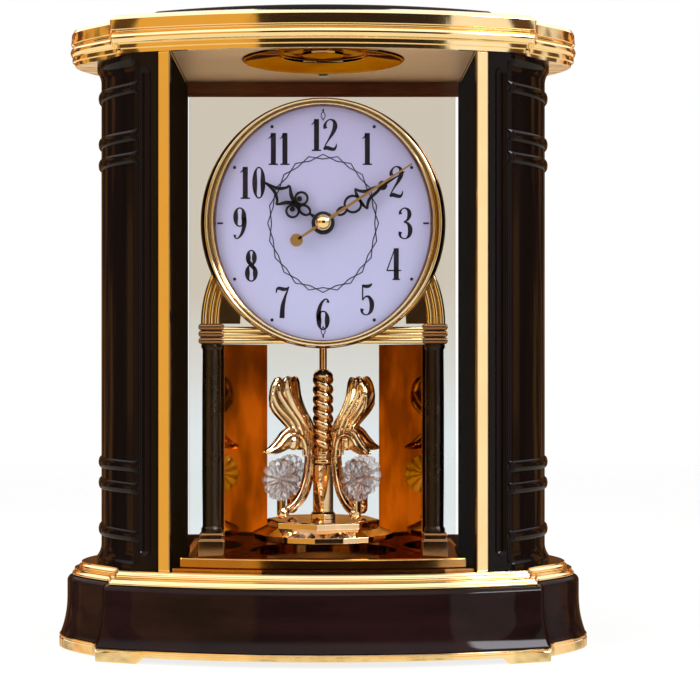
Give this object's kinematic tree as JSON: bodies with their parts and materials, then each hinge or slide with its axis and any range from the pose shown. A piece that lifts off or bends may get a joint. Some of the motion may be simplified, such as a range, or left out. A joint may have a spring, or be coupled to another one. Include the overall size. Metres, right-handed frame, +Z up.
{
  "type": "mantel clock",
  "caption": "Glazed mantel clock with a dark moulded case, gilt mouldings, an oval dial on an arch and a rotating pendulum of swans and cut crystals.",
  "frame": {"origin": "on the table, under the middle of the case's width and depth", "axes": "+X to the right as seen from the front, +Y towards the back, +Z up; the dial faces -Y"},
  "size_m": [0.205, 0.115, 0.24],
  "materials": {
    "gold_plate": "bright gold plating on moulded plastic",
    "walnut_gloss": "dark walnut-brown high gloss lacquer",
    "black_gloss": "near-black high gloss lacquer",
    "amber_mirror": "amber tinted mirror",
    "clear_acrylic": "clear and polished",
    "dial_face": "satin pearl paint with printed black numerals",
    "hand_black": "satin black",
    "hand_brass": "satin, dull",
    "cut_crystal": "cut and polished",
    "movement_plastic": "fine matte grain",
    "steel": "bright zinc",
    "battery_jacket": "plain printed jacket"
  },
  "bodies": {
    "case": {"foot_skirt": "gold_plate", "plinth": "walnut_gloss", "bottom_cover": "movement_plastic", "lower_moulding": "gold_plate", "right_pilaster": "black_gloss", "left_pilaster": "black_gloss", "right_gilt_strip": "gold_plate", "left_gilt_strip": "gold_plate", "upper_moulding": "gold_plate", "top_panel": "walnut_gloss", "front_glass": "clear_acrylic", "floor_plate": "gold_plate", "ceiling_panel": "amber_mirror", "ceiling_rosette": "amber_mirror", "ceiling_screw": "steel", "rear_bottom_rail": "black_gloss", "rear_top_rail": "black_gloss", "chamber_base": "gold_plate", "left_column_base": "gold_plate", "left_inner_column": "black_gloss", "left_capital": "gold_plate", "right_column_base": "gold_plate", "right_inner_column": "black_gloss", "right_capital": "gold_plate", "right_mirror_panel": "amber_mirror", "left_mirror_panel": "amber_mirror", "dial_bezel": "gold_plate", "dial_plate": "dial_face", "movement_case": "movement_plastic", "fixing_nut": "steel", "battery": "battery_jacket", "positive_contact": "steel", "negative_contact": "steel", "dial_arch": "gold_plate", "reeded_lintel": "gold_plate", "dial_housing": "movement_plastic", "pendulum_drive": "movement_plastic", "bottom_screw_1": "steel", "bottom_screw_2": "steel", "bottom_screw_3": "steel", "bottom_screw_4": "steel"},
    "minute": {"minute_hand": "hand_black"},
    "hour": {"hour_hand": "hand_black"},
    "second": {"second_hand": "hand_brass", "hub_cap": "gold_plate"},
    "knob": {"setting_knob": "movement_plastic"},
    "pendulum": {"pendulum_plate": "gold_plate", "hex_column": "gold_plate", "twist_column": "gold_plate", "pendulum_rod": "gold_plate", "swan_1": "gold_plate", "swan_2": "gold_plate", "swan_3": "gold_plate", "swan_4": "gold_plate", "crystal_1": "cut_crystal", "crystal_2": "cut_crystal", "crystal_3": "cut_crystal", "crystal_4": "cut_crystal"},
    "door": {"rear_door": "clear_acrylic", "rear_door_pull": "gold_plate"}
  },
  "joints": [
    {"name": "minute_hand_turn", "type": "hinge", "parent": "case", "child": "minute", "pos_m": [0, -0.035, 0.1615], "axis": [0, 1, 0], "continuous": true},
    {"name": "hour_hand_turn", "type": "hinge", "parent": "case", "child": "hour", "pos_m": [0, -0.0339, 0.1615], "axis": [0, 1, 0], "continuous": true},
    {"name": "second_hand_turn", "type": "hinge", "parent": "case", "child": "second", "pos_m": [0, -0.0361, 0.1615], "axis": [0, 1, 0], "continuous": true},
    {"name": "setting_knob_turn", "type": "hinge", "parent": "case", "child": "knob", "pos_m": [0, -0.0105, 0.176], "axis": [0, 1, 0], "continuous": true},
    {"name": "pendulum_turn", "type": "hinge", "parent": "case", "child": "pendulum", "pos_m": [0, -0.0075, 0.08], "axis": [0, 0, 1], "continuous": true},
    {"name": "rear_door_swing", "type": "hinge", "parent": "case", "child": "door", "pos_m": [0.0543, 0.0513, 0.129], "axis": [0, 0, -1], "range_deg": [0, 100]}
  ],
  "couplings": [
    {"joint": "hour_hand_turn", "follows": "minute_hand_turn", "ratio": 0.083333},
    {"joint": "setting_knob_turn", "follows": "minute_hand_turn", "ratio": -0.33333}
  ]
}
